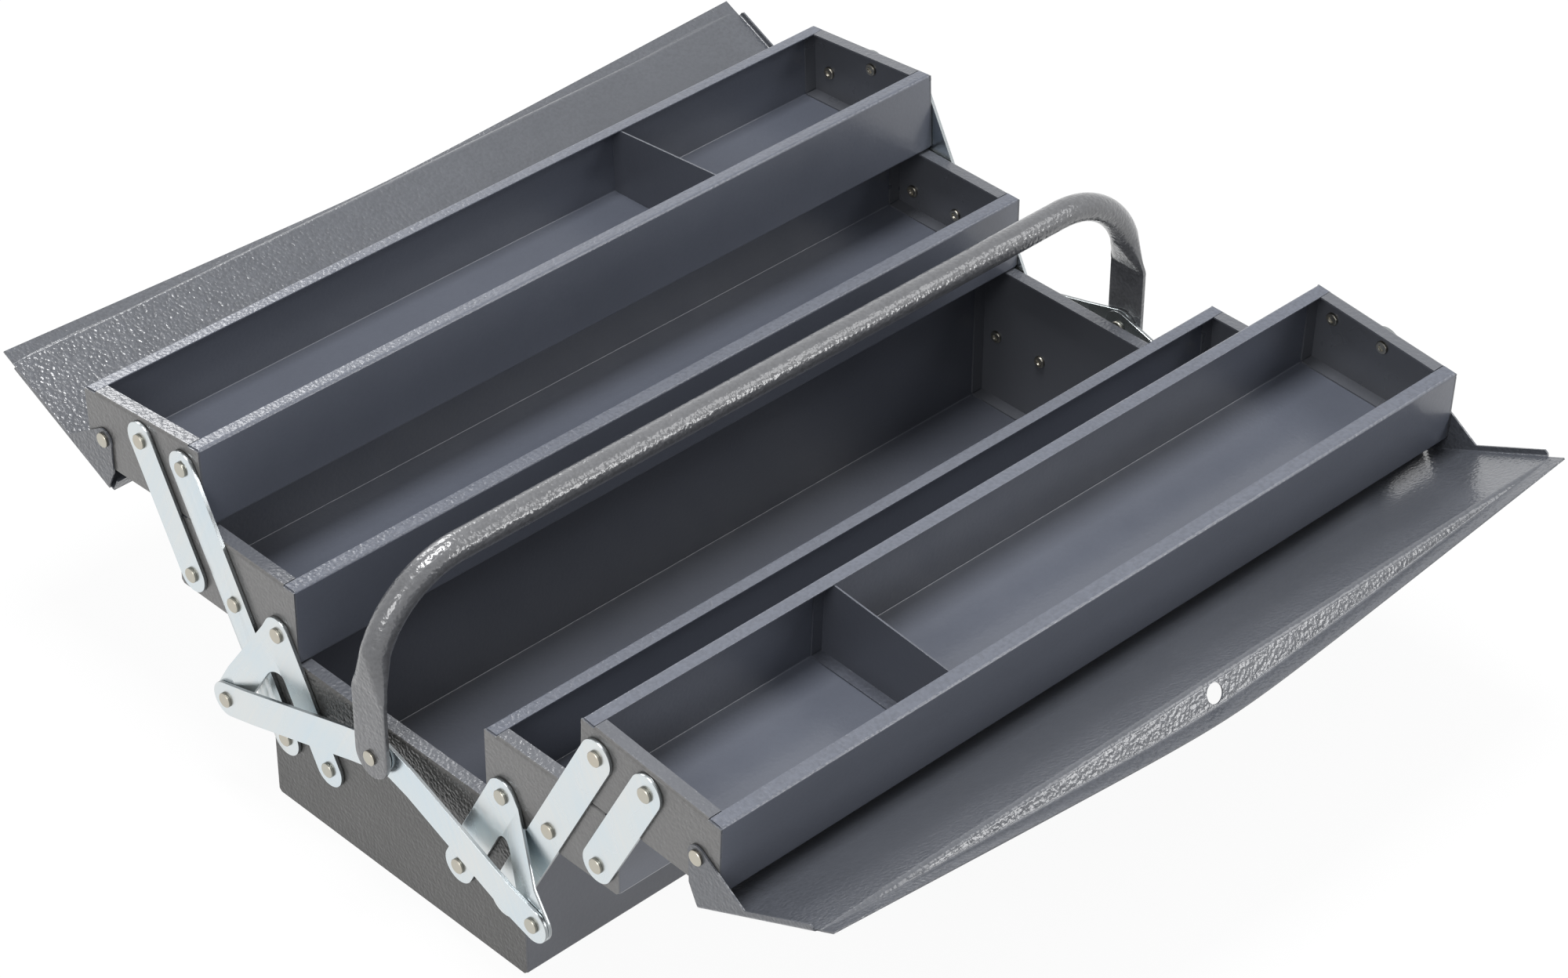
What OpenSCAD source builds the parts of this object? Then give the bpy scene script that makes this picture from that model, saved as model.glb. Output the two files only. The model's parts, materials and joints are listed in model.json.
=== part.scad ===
// Five tray cantilever tool box in folded sheet steel, shown spread open with both lids up.
// X runs along the box, Y across it and Z up. The origin is on the floor under its middle.
// Every moving piece is drawn in the open position. The rear half is modelled and the front half mirrors it.

/* [Case] */
// Length over the end plates
case_length = 530; // [460:5:620]
// Width over the long sides
case_width = 198; // [180:2:230]
// Height of the bottom case
case_height = 99; // [90:1:130]

/* [Trays] */
// Height of the two lower trays
lower_tray_height = 47.3; // [42:0.1:60]
// Height of an upper tray at the middle of the closed box
upper_tray_height = 49; // [44:0.5:62]
// How much lower the outer side of an upper tray is, which gives the closed lids their slope
roof_fall = 5; // [2:0.5:8]
// How far a closed tray stands back from the side of the case
tray_setback = 0.5; // [0:0.1:2]
// Gap between the two closed halves at the middle
middle_gap = 3; // [2:0.2:6]
// Distance of each divider from the middle of the length
divider_offset = 105; // [60:5:160]

/* [Sheet] */
// Thickness of the folded sheet
sheet = 1; // [0.8:0.1:1.2]
// Outside radius of a fold
fold_radius = 1.8; // [1.5:0.1:2.5]
// Width of the rims that are turned in around every opening
rim_width = 8.5; // [6:0.5:11]
// Width of the inner flanges of the end plates and dividers
flange_width = 8; // [5:0.5:11]

/* [Linkage] */
// Distance between neighbouring pivots of one link
link_length = 76.8; // [74:0.2:80]
// Lean of the links from upright, outward when open and inward when closed
link_lean = 28; // [24:0.5:30]
// Distance between the pivots in one row
pivot_pitch = 35; // [32:0.5:36]
// Height of the lower tray pivots above the tray bottom
lower_pivot_rise = 13; // [11:0.5:16]
// Distance of the innermost tray pivot from the inner side of its tray, box closed
pivot_inset = 13.95; // [12:0.25:16]
// Width of the flat links
link_width = 20.5; // [18:0.5:22]
// Thickness of the flat links
link_thickness = 2; // [1.5:0.1:2.2]
// Drop of the outer side of an open upper tray, as an angle
tray_droop = 2.5; // [0:0.1:3]

/* [Levers] */
// Where the handle bar pivots on the lever, measured down the lever from its tray pivot
elbow_down = 33.6; // [30:0.2:38]
// Where the handle bar pivots on the lever, measured out from the lever
elbow_out = 55.5; // [52:0.5:60]
// How far the elbow of a lever stands outside its straight arm
elbow_step = 9.1; // [8.5:0.1:11]
// Where the crotch between the two arms of a lever lies, measured down the lever
crotch_down = 27.2; // [24:0.2:30]
// Radius of the crotch between the two arms of a lever
crotch_radius = 6.4; // [5:0.2:8]

/* [Rivets] */
// Diameter of the pivot rivets
rivet_diameter = 5; // [4:0.1:5.6]
// Diameter of the rivet heads
rivet_head_diameter = 8.5; // [8:0.1:10]
// Thickness of the rivet heads
rivet_head = 1.6; // [1.2:0.1:2]
// Diameter of the two handle rivets
handle_rivet_diameter = 6; // [5:0.1:6.4]

/* [Lids] */
// Height of the lip along the hinged side of a lid
lid_back_lip = 9; // [6:0.5:10]
// Height of the lips on the ends of a lid
lid_end_lip = 4.2; // [3.5:0.1:4.4]
// Distance of the lid pivot from the outer side of the tray
lid_pivot_inset = 14; // [12:0.5:16]
// Height of the lid pivot above the tray bottom
lid_pivot_rise = 17.5; // [14:0.5:20]
// Radius of the ears around the lid pivots
lid_ear_radius = 6.5; // [6:0.1:8]
// Length of an ear along the end lip, from the back of the lid
lid_ear_length = 39.7; // [34:0.1:46]
// Gap between the back lip and the tray side at the lid pivot
lid_side_gap = 1.4; // [1.2:0.1:2.4]
// Width of the flat strip along the free edge of a lid
edge_strip = 8.8; // [7:0.1:11]
// Height of the pressed step at the middle of the free edge
edge_step = 14.7; // [13:0.1:18]
// Further rise of the strip from the step to the free edge
edge_rise = 3.8; // [0:0.1:5]
// Diameter of the padlock hole
padlock_hole = 11; // [8:0.5:12]
// Angle of an open lid above the horizontal
lid_open_angle = 25; // [15:1:40]

/* [Handle] */
// Diameter of the handle tube
handle_tube = 16; // [14:0.5:18]
// Height of the handle pivots above the floor, box open
handle_pivot_height = 90.9; // [86:0.1:100]
// Height of the grip above the handle pivots
handle_reach = 101.1; // [95:0.1:115]
// Bend radius of the tube at its middle line
handle_bend = 60; // [45:1:65]
// Width of the flattened tube ends
handle_flat_width = 25; // [21:0.5:26]
// Thickness of the flattened tube ends
handle_flat = 3; // [2.4:0.1:3.4]
// Distance of the tube's middle line from the end plates
handle_offset = 11.5; // [10.5:0.5:13]
// Distance of the flattened ends from the end plates
handle_flat_offset = 11.2; // [11:0.1:13]

/* [Clearances] */
// Radial clearance of a link on its rivet
rivet_play = 0.05; // [0.02:0.01:0.1]
// Radial clearance of the loose upper hole of a short link
loose_play = 0.85; // [0.8:0.05:1]
// Radial clearance of the rear bar on the handle rivet
bar_play = 3.2; // [3.1:0.05:3.6]
// Gap between an end plate and the flat links
link_gap = 0.4; // [0.3:0.05:0.6]
// Gap between neighbouring layers of links and bars
layer_gap = 0.3; // [0.25:0.05:0.5]
// Gap under a rivet head
head_gap = 0.1; // [0.05:0.01:0.15]
// Gap between the case and the lower trays
tray_seat = 0.3; // [0.2:0.1:0.8]
// Gap between the closed lower and upper trays
upper_seat = 0.7; // [0.6:0.1:1]
// Gap between a closed lid and the tray rim
lid_seat = 1.2; // [0.6:0.1:1.6]
// Gap between the free edges of the closed lids and the middle plane
lid_meeting_gap = 0.8; // [0.5:0.1:1.5]

/* [Hidden] */

paint_outside = [0.30, 0.31, 0.33];
paint_inside = [0.25, 0.27, 0.30];
zinc = [0.80, 0.83, 0.86];
nickel = [0.76, 0.74, 0.68];

$fn = 48;
// Facets of an exact arc in a folded section
arc_steps = 4;
// Overlap that keeps a cut clear of the face it starts from
through = 1;

end_face = case_length / 2;
half_width = case_width / 2;
tray_width = half_width - tray_setback - middle_gap / 2;
// Where the upright inner flanges start, clear of the bottom flange
flange_foot = 2.5 * sheet;
lower_tray_floor = case_height + tray_seat;

// Pivots of the rear half as [y, z], box open
swing = 2 * link_length * sin(link_lean);
link_drop = link_length * cos(link_lean);
link_shift = swing / 2;
tray_inner_closed = middle_gap / 2;
lower_tray_inner = tray_inner_closed + swing;
pivot_t1 = [lower_tray_inner + pivot_inset, lower_tray_floor + lower_pivot_rise];
pivot_t2 = pivot_t1 + [pivot_pitch, 0];
pivot_t3 = pivot_t1 + [2 * pivot_pitch, 0];
pivot_b1 = pivot_t1 - [link_shift, link_drop];
pivot_b2 = pivot_t2 - [link_shift, link_drop];
pivot_u1 = pivot_t2 + [link_shift, link_drop];

// Upper tray pivots in the tray's own frame, whose corner is inner and bottom
upper_tray_floor_closed = lower_tray_floor + lower_tray_height + upper_seat;
u1_local = [pivot_t2[0] - swing - link_shift - tray_inner_closed, pivot_u1[1] - upper_tray_floor_closed];
u2_local = u1_local + pivot_pitch * [cos(tray_droop / 2), sin(tray_droop / 2)];
upper_outer_height = upper_tray_height - roof_fall;
roof_slope = atan(roof_fall / tray_width);
lid_pivot_local = [tray_width - lid_pivot_inset, lid_pivot_rise];

// Lever directions in the rear half: down the lever, and out from it
lever_down = [-sin(link_lean), -cos(link_lean)];
lever_out = [cos(link_lean), -sin(link_lean)];
pivot_h = pivot_t1 + elbow_down * lever_down + elbow_out * lever_out;
pivot_p = [0, handle_pivot_height];
bar_length = norm(pivot_p - pivot_h);

// Layers of the linkage outside an end plate
link_in = end_face + link_gap;
link_out = link_in + link_thickness;
elbow_in = link_in + elbow_step;
elbow_outer = elbow_in + link_thickness;
bar_elbow_in = elbow_outer + layer_gap;
bar_elbow_out = bar_elbow_in + link_thickness;
handle_in = end_face + handle_flat_offset;
handle_out = handle_in + handle_flat;
// At the handle both bars lie inside the flattened tube, the front bar inside the rear one
rear_bar_in = handle_in - layer_gap - link_thickness;
front_bar_in = rear_bar_in - layer_gap - link_thickness;
ear_in = end_face + link_gap;
ear_out = ear_in + sheet;
// Where the lever's side arm starts to lean outward over the long link, and where it lies flat again
lean_start = link_width / 2 + 1;
lean_end = elbow_out - link_width / 2;
// Length of the flat ends of a handle bar, from their pivots to where the bar leans
bar_flat_elbow = 20;
bar_flat_handle = 24;

// Lid section: u runs from the back lip to the free edge, v from the outer face inward
lid_pivot_v = (upper_outer_height + lid_pivot_inset * tan(roof_slope) - lid_pivot_rise) * cos(roof_slope)
    + lid_seat + sheet;
lid_pivot_u = lid_pivot_inset * cos(roof_slope) + lid_side_gap + sheet;
lid_pivot_closed_y = tray_inner_closed + tray_width - lid_pivot_inset;
lid_width = lid_pivot_u
    + (lid_pivot_closed_y - lid_meeting_gap + lid_pivot_v * sin(roof_slope)) / cos(roof_slope);
fold_u = lid_width - edge_strip;
// Height of the end lips where they run out beside the pressed edge
corner_lip = 2.4;
// Where the end lips and the flat panel stop, and half the length of the pressed edge
lip_end = fold_u - corner_lip;
panel_end_u = fold_u - 2 * sheet;
lid_flat_x = ear_out - fold_radius - 0.1;
edge_stations = 32;
// Half length of the round top of the pressed ridge
ridge_round = 40;

function unit(v) = v / norm(v);
function left_of(v) = [-v[1], v[0]];
// One side of a folded strip: the corner points in p, rounded, moved inward by depth
function fold_arc(p, i, depth) =
    let (a = unit(p[i] - p[i - 1]), b = unit(p[i + 1] - p[i]))
    let (centre = p[i] + (left_of(a) + left_of(b)) * fold_radius / (1 + a * b))
    let (start = atan2(a[1], a[0]), turn = acos(max(-1, min(1, a * b))))
    [for (k = [0:arc_steps]) let (g = start + turn * k / arc_steps)
        centre - (fold_radius - depth) * left_of([cos(g), sin(g)])];
function strip_side(p, depth) = let (last = len(p) - 1) concat(
    [p[0] + depth * left_of(unit(p[1] - p[0]))],
    [for (i = [1:last - 1]) each fold_arc(p, i, depth)],
    [p[last] + depth * left_of(unit(p[last] - p[last - 1]))]);
function reversed(list) = [for (i = [len(list) - 1:-1:0]) list[i]];
// Section of a sheet that is folded to the left at each point of p
function folded_strip(p) = concat(strip_side(p, 0), reversed(strip_side(p, sheet)));

// Height of the pressed ridge along x, from 1 at the middle to 0 at the ends
function ridge_share(x) =
    1 - (sqrt(x * x + ridge_round * ridge_round) - ridge_round)
        / (sqrt(lid_flat_x * lid_flat_x + ridge_round * ridge_round) - ridge_round);

// Extrudes a shape drawn in the Y and Z plane along X
module along_x(from, to) {
    translate([from, 0, 0]) rotate([90, 0, 90]) linear_extrude(to - from) children();
}

// Extrudes a shape drawn in the X and Z plane along Y
module along_y(from, to) {
    translate([0, to, 0]) rotate([90, 0, 0]) linear_extrude(to - from) children();
}

module at_yz(p) {
    translate([0, p[0], p[1]]) children();
}

module left() {
    mirror([1, 0, 0]) children();
}

module front() {
    mirror([0, 1, 0]) children();
}

module both_ends() {
    children();
    left() children();
}

module both_sides() {
    children();
    front() children();
}

// Sheet bottom and sides with turned in rims, for a box of the given width and side heights
module channel(width, inner_height, outer_height) {
    fall = (inner_height - outer_height) / width;
    section = folded_strip([
        [rim_width, inner_height - fall * rim_width], [0, inner_height], [0, 0], [width, 0],
        [width, outer_height], [width - rim_width, outer_height + fall * rim_width]
    ]);
    along_x(-end_face + sheet, end_face - sheet) polygon(section);
}

// End plate at the right hand end: a face, a turned in rim and inner flanges
module end_plate(width, inner_height, outer_height, holes, hole_radius) {
    slope = atan((inner_height - outer_height) / width);
    inside = end_face - sheet;
    rim_drop = 3;
    rim_gap = 0.4;
    rim_span = width / cos(slope) - 2 * rim_width - 2 * rim_gap;
    difference() {
        union() {
            along_x(inside, end_face) polygon([
                [0, fold_radius], [fold_radius, 0], [width - fold_radius, 0], [width, fold_radius],
                [width, outer_height - rim_drop], [0, inner_height - rim_drop]]);
            // Turned in rim with its fold, laid along the slope of the top edge
            translate([0, 0, inner_height]) rotate([-slope, 0, 0]) {
                translate([0, rim_width + rim_gap, 0])
                    rotate([90, 0, 0]) mirror([0, 0, 1]) linear_extrude(rim_span)
                        polygon(folded_strip([[end_face, -rim_drop - sheet], [end_face, 0],
                            [end_face - rim_width, 0]]));
                corner = rim_width + rim_gap;
                for (y = [0, corner + rim_span]) translate([inside, y, -rim_drop - sheet])
                    cube([sheet, corner, rim_drop + sheet - fold_radius / 2]);
            }
            // Bottom flange
            translate([inside - flange_width, 2 * sheet, sheet])
                cube([flange_width, width - 4 * sheet, sheet]);
            // Side flanges
            side_flange(inner_height);
            translate([0, width, 0]) front() side_flange(outer_height);
        }
        for (p = holes) at_yz(p) along_x(inside - through, end_face + through) circle(hole_radius);
    }
}

module side_flange(height) {
    translate([end_face - sheet - flange_width, sheet, flange_foot])
        cube([flange_width, sheet, height - 2 * sheet - flange_foot]);
}

// Sheet divider across a tray, with flanges on the floor and both walls
module divider(width, inner_height, outer_height) {
    fall = (inner_height - outer_height) / width;
    rim_gap = 0.1;
    top_inner = inner_height - sheet * (1 + fall) - rim_gap;
    top_outer = outer_height - sheet - rim_gap;
    difference() {
        union() {
            along_x(0, sheet) polygon([[sheet, fold_radius], [fold_radius, sheet],
                [width - fold_radius, sheet], [width - sheet, fold_radius],
                [width - sheet, top_outer], [sheet, top_inner]]);
            translate([0, 2 * sheet, sheet]) cube([flange_width, width - 4 * sheet, sheet]);
            for (y = [sheet, width - 2 * sheet]) translate([0, y, flange_foot])
                cube([flange_width, sheet, outer_height - 3 * sheet - flange_foot]);
        }
        // Room under the rims
        for (y = [sheet, width - sheet - fold_radius]) translate([-through, y - through, outer_height - 2 * sheet])
            cube([flange_width + 2 * through, fold_radius + through, 2 * fold_radius + roof_fall]);
    }
}

// Rivet along X: a hollow tail inside the plate, a shank and a flat head outside
module rivet(tail_face, head_face, radius) {
    tail = 1.4;
    // How far the rolled tail stands out around the shank
    tail_roll = 1.3;
    flare = radius + tail_roll;
    dimple = radius * 0.6;
    edge = 0.4;
    head_radius = rivet_head_diameter / 2;
    rotate([0, 90, 0]) rotate_extrude() polygon([
        [0, tail_face - tail / 3], [dimple, tail_face - tail / 3], [dimple + edge, tail_face - tail],
        [flare - edge, tail_face - tail], [flare, tail_face - tail / 2], [flare, tail_face],
        [radius, tail_face], [radius, head_face], [head_radius, head_face],
        [head_radius, head_face + rivet_head - edge], [head_radius - edge, head_face + rivet_head],
        [0, head_face + rivet_head]]);
}

// Rivet from an end plate through one link
module link_rivet() {
    rivet(end_face - sheet - rivet_play, link_out + head_gap, rivet_diameter / 2);
}

// Flat link lying in the Y and Z plane, from its first hole at the origin, up along Z
module flat_link(length, holes, hole_radii, from, to) {
    along_x(from, to) difference() {
        union() {
            translate([-link_width / 2, 0]) square([link_width, length]);
            circle(link_width / 2);
            translate([0, length]) circle(link_width / 2);
        }
        for (i = [0:len(holes) - 1]) translate([0, holes[i]]) circle(hole_radii[i]);
    }
}

// Flat lever blank in its own plane: Y runs down from the tray pivot, Z out from it
module lever_blank(from, to) {
    elbow = [elbow_down, elbow_out];
    arm = unit(elbow);
    side = [arm[1], -arm[0]];
    half = link_width / 2;
    crotch = [crotch_down, half + crotch_radius];
    web = crotch - crotch_radius * side;
    difference() {
        union() {
            for (p = [[0, 0], [link_length, 0], elbow]) at_yz(p) along_x(from, to) circle(half);
            along_x(from, to) translate([0, -half]) square([link_length, link_width]);
            along_x(from, to) polygon([-half * side, elbow - half * side, elbow + half * side, web,
                [crotch[0], half], [crotch[0], 0], [0, 0]]);
        }
        at_yz(crotch) along_x(from - through, to + through) circle(crotch_radius);
    }
}

// Lever with its side arm leaning outward over the long link, at the right hand rear
module lever() {
    margin = link_width;
    near = -margin;
    far = elbow_out + margin;
    bore = rivet_diameter / 2 + rivet_play;
    at_yz(pivot_t1) rotate([atan2(lever_down[1], lever_down[0]), 0, 0]) difference() {
        intersection() {
            lever_blank(link_in, elbow_outer);
            // Bent profile of the lever across its arms
            rotate([90, 0, 0]) linear_extrude(2 * (link_length + 2 * margin), center = true)
                polygon([[link_in, near], [link_out, near], [link_out, lean_start],
                    [elbow_outer, lean_end], [elbow_outer, far], [elbow_in, far],
                    [elbow_in, lean_end], [link_in, lean_start]]);
        }
        for (p = [[0, 0], [link_length, 0]]) at_yz(p)
            along_x(link_in - through, link_out + through) circle(bore);
        at_yz([elbow_down, elbow_out])
            along_x(elbow_in - through, elbow_outer + through) circle(bore);
    }
}

module long_link() {
    bore = rivet_diameter / 2 + rivet_play;
    at_yz(pivot_b2) rotate([-link_lean, 0, 0])
        flat_link(2 * link_length, [0, link_length, 2 * link_length], [bore, bore, bore], link_in, link_out);
}

module short_link() {
    bore = rivet_diameter / 2 + rivet_play;
    at_yz(pivot_t3) rotate([-link_lean, 0, 0])
        flat_link(link_length, [0, link_length], [bore, rivet_diameter / 2 + loose_play], link_in, link_out);
}

// Handle bar of the rear half, bent inward between its lever and the handle pivot
module bar(handle_side, handle_play) {
    half = link_width / 2;
    sloped_end = bar_length - bar_flat_handle;
    at_yz(pivot_h) rotate([atan2(pivot_h[0] - pivot_p[0], pivot_p[1] - pivot_h[1]), 0, 0]) difference() {
        intersection() {
            union() {
                along_x(handle_side, bar_elbow_out) translate([-half, 0]) square([link_width, bar_length]);
                for (z = [0, bar_length]) at_yz([0, z]) along_x(handle_side, bar_elbow_out) circle(half);
            }
            // Bent profile of the bar along its length
            rotate([90, 0, 0]) linear_extrude(2 * link_width, center = true)
                polygon([[bar_elbow_in, -link_width], [bar_elbow_out, -link_width],
                    [bar_elbow_out, bar_flat_elbow], [handle_side + link_thickness, sloped_end],
                    [handle_side + link_thickness, bar_length + link_width],
                    [handle_side, bar_length + link_width], [handle_side, sloped_end],
                    [bar_elbow_in, bar_flat_elbow]]);
        }
        along_x(bar_elbow_in - through, bar_elbow_out + through) circle(rivet_diameter / 2 + rivet_play);
        at_yz([0, bar_length]) along_x(handle_side - through, handle_side + link_thickness + through)
            circle(handle_rivet_diameter / 2 + handle_play);
    }
}

// Rivet that joins a lever and a handle bar
module elbow_rivet() {
    at_yz(pivot_h) rivet(elbow_in - rivet_play, bar_elbow_out + head_gap, rivet_diameter / 2);
}

// Puts a tray drawn in its own closed frame where the open lower tray stands
module at_lower_tray() {
    translate([0, lower_tray_inner, lower_tray_floor]) children();
}

// The same for the open upper tray, which droops about its inner pivot
module at_upper_tray() {
    at_yz(pivot_u1) rotate([-tray_droop, 0, 0]) at_yz(-u1_local) children();
}

module lower_end() {
    origin = [lower_tray_inner, lower_tray_floor];
    at_lower_tray() end_plate(tray_width, lower_tray_height, lower_tray_height,
        [pivot_t1 - origin, pivot_t2 - origin, pivot_t3 - origin], rivet_diameter / 2 + rivet_play);
}

module upper_end() {
    at_upper_tray() end_plate(tray_width, upper_tray_height, upper_outer_height,
        [u1_local, u2_local, lid_pivot_local], rivet_diameter / 2 + rivet_play);
}

module case_end() {
    shift = [half_width, 0];
    translate([0, -half_width, 0]) end_plate(case_width, case_height, case_height,
        [shift + pivot_b1, shift + pivot_b2,
            shift + [-pivot_b1[0], pivot_b1[1]], shift + [-pivot_b2[0], pivot_b2[1]]],
        rivet_diameter / 2 + rivet_play);
}

module lid_pivot_place() {
    at_upper_tray() at_yz(lid_pivot_local) children();
}

// Turns the lid frame about the lid pivot to the open angle
module at_lid() {
    lid_pivot_place() rotate([lid_open_angle + tray_droop, 0, 0])
        at_yz([-lid_pivot_u, -lid_pivot_v]) children();
}

// Pressed free edge of a lid: a step that grows toward the middle, and a strip along its top
module lid_edge() {
    least = 0.05;
    rows = [for (i = [0:edge_stations])
        let (x = -lid_flat_x + 2 * lid_flat_x * i / edge_stations)
        let (low = edge_step * ridge_share(x) + least, high = (edge_step + edge_rise) * ridge_share(x) + least)
        [[x, panel_end_u, 0], [x, fold_u - sheet, 0], [x, fold_u - sheet, -low], [x, lid_width, -high],
            [x, lid_width, sheet - high], [x, fold_u, sheet - low], [x, fold_u, sheet],
            [x, panel_end_u, sheet]]];
    ring = len(rows[0]);
    points = [for (row = rows) each row];
    sides = [for (i = [0:edge_stations - 1]) for (k = [0:ring - 1])
        let (a = i * ring + k, b = i * ring + (k + 1) % ring)
        each [[b, a, a + ring], [b, a + ring, b + ring]]];
    section = [[0, 1, 6], [0, 6, 7], [1, 2, 6], [6, 2, 5], [2, 3, 5], [5, 3, 4]];
    last = edge_stations * ring;
    caps = [for (t = section) each [t, last * [1, 1, 1] + [t[2], t[1], t[0]]]];
    polyhedron(points, concat(sides, caps));
}

// Ear of a lid at the right hand end, in the lid's section plane
module lid_ear() {
    back = 0.3;
    pivot = [lid_pivot_u, lid_pivot_v];
    // Where the front edge of the ear leaves its round end
    brow_angle = 25.5;
    brow = pivot + lid_ear_radius * [cos(brow_angle), sin(brow_angle)];
    difference() {
        union() {
            at_yz(pivot) along_x(ear_in, ear_out) circle(lid_ear_radius);
            along_x(ear_in, ear_out) polygon([[back, sheet], [back, lid_back_lip],
                pivot - [lid_ear_radius, 0], brow, [lid_ear_length, lid_end_lip],
                [lid_ear_length, sheet]]);
        }
        at_yz(pivot) along_x(ear_in - through, ear_out + through)
            circle(rivet_diameter / 2 + rivet_play);
    }
}

// Section of one end lip with a bit of the panel, drawn in the X and Z plane
module lip_section(height) {
    polygon(folded_strip([[lid_flat_x, 0], [ear_out, 0], [ear_out, height]]));
}

// One lid in its own frame, as folded from one sheet
module lid_sheet() {
    lip_gap = 0.6;
    difference() {
        union() {
            translate([-lid_flat_x, fold_radius, 0])
                cube([2 * lid_flat_x, panel_end_u - fold_radius, sheet]);
            both_ends() {
                along_y(fold_radius, lip_end) lip_section(lid_end_lip);
                along_y(lip_end, lip_end + corner_lip) lip_section(corner_lip);
                lid_ear();
            }
            // Back lip
            along_x(-ear_in + lip_gap, ear_in - lip_gap)
                polygon(folded_strip([[0, lid_back_lip], [0, 0], [fold_radius + sheet, 0]]));
            lid_edge();
        }
        translate([0, fold_u, -edge_step / 2]) rotate([-90, 0, 0])
            cylinder(d = padlock_hole, h = 4 * sheet, center = true);
    }
}

module lid() {
    at_lid() lid_sheet();
}

module lid_rivet() {
    lid_pivot_place() rivet(end_face - sheet - rivet_play, ear_out + head_gap, rivet_diameter / 2);
}

// One leg of the handle: flattened end, blend and bend, at the right hand end
module handle_leg() {
    radius = handle_tube / 2;
    bend_x = end_face + handle_offset - handle_bend;
    bend_z = handle_pivot_height + handle_reach - handle_bend;
    // The flat end stops a little below the middle of the bend
    flat_short = 1.5;
    crease = bend_z - flat_short;
    blend_angle = 22;
    slab = 0.5;
    // The blend ends just inside the round tube
    sink = 0.2;
    difference() {
        union() {
            at_yz(pivot_p) along_x(handle_in, handle_out) circle(handle_flat_width / 2);
            translate([handle_in, -handle_flat_width / 2, handle_pivot_height])
                cube([handle_flat, handle_flat_width, crease - handle_pivot_height]);
        }
        at_yz(pivot_p) along_x(handle_in - through, handle_out + through)
            circle(handle_rivet_diameter / 2 + rivet_play);
    }
    hull() {
        translate([handle_in, -handle_flat_width / 2, crease - slab])
            cube([handle_flat, handle_flat_width, slab]);
        translate([bend_x, 0, bend_z]) rotate([0, -blend_angle, 0]) translate([handle_bend, 0, 0])
            cylinder(r = radius - sink, h = slab);
    }
    translate([bend_x, 0, bend_z]) rotate([-90, -90, 0])
        rotate_extrude(angle = 90 - blend_angle) translate([handle_bend, 0]) circle(radius);
}

// Straight tube between the legs
module handle_grip() {
    reach = end_face + handle_offset - handle_bend;
    translate([-reach, 0, handle_pivot_height + handle_reach]) rotate([0, 90, 0]) rotate([0, 0, 180])
        cylinder(d = handle_tube, h = 2 * reach);
}

module rear_tray_divider() {
    translate([divider_offset, 0, 0]) divider(tray_width, upper_tray_height, upper_outer_height);
}

module case_tray() {
    color(paint_inside) translate([0, -half_width, 0]) channel(case_width, case_height, case_height);
}
module case_right_end() {
    color(paint_outside) case_end();
}
module case_left_end() {
    color(paint_outside) left() case_end();
}
module case_rivets() {
    color(nickel) both_ends() both_sides() for (p = [pivot_b1, pivot_b2]) at_yz(p) link_rivet();
}

module rear_lower_tray() {
    color(paint_inside) at_lower_tray() channel(tray_width, lower_tray_height, lower_tray_height);
}
module rear_lower_right_end() {
    color(paint_outside) lower_end();
}
module rear_lower_left_end() {
    color(paint_outside) left() lower_end();
}
module rear_lower_rivets() {
    color(nickel) both_ends() for (p = [pivot_t1, pivot_t2, pivot_t3]) at_yz(p) link_rivet();
}
module front_lower_tray() {
    front() rear_lower_tray();
}
module front_lower_right_end() {
    front() rear_lower_right_end();
}
module front_lower_left_end() {
    front() rear_lower_left_end();
}
module front_lower_rivets() {
    front() rear_lower_rivets();
}

module rear_upper_tray() {
    color(paint_inside) at_upper_tray() channel(tray_width, upper_tray_height, upper_outer_height);
}
module rear_upper_right_end() {
    color(paint_outside) upper_end();
}
module rear_upper_left_end() {
    color(paint_outside) left() upper_end();
}
module rear_divider() {
    color(paint_inside) at_upper_tray() rear_tray_divider();
}
module rear_upper_rivets() {
    color(nickel) both_ends() at_upper_tray() for (p = [u1_local, u2_local]) at_yz(p) link_rivet();
}
module front_upper_tray() {
    front() rear_upper_tray();
}
module front_upper_right_end() {
    front() rear_upper_right_end();
}
module front_upper_left_end() {
    front() rear_upper_left_end();
}
module front_divider() {
    front() left() rear_divider();
}
module front_upper_rivets() {
    front() rear_upper_rivets();
}

module rear_lid() {
    color(paint_outside) lid();
}
module front_lid() {
    front() rear_lid();
}
module rear_lid_rivets() {
    color(nickel) both_ends() lid_rivet();
}
module front_lid_rivets() {
    front() rear_lid_rivets();
}

module rear_right_lever() {
    color(zinc) lever();
}
module rear_right_long_link() {
    color(zinc) long_link();
}
module rear_right_short_link() {
    color(zinc) short_link();
}
module rear_right_bar() {
    color(zinc) bar(rear_bar_in, bar_play);
}
module front_right_bar() {
    front() color(zinc) bar(front_bar_in, rivet_play);
}
module rear_elbow_rivets() {
    color(nickel) both_ends() elbow_rivet();
}
module front_elbow_rivets() {
    front() rear_elbow_rivets();
}

module handle() {
    color(paint_outside) {
        both_ends() handle_leg();
        handle_grip();
    }
}
module handle_rivets() {
    color(nickel) both_ends() at_yz(pivot_p)
        rivet(front_bar_in - head_gap, handle_out + head_gap, handle_rivet_diameter / 2);
}

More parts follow.
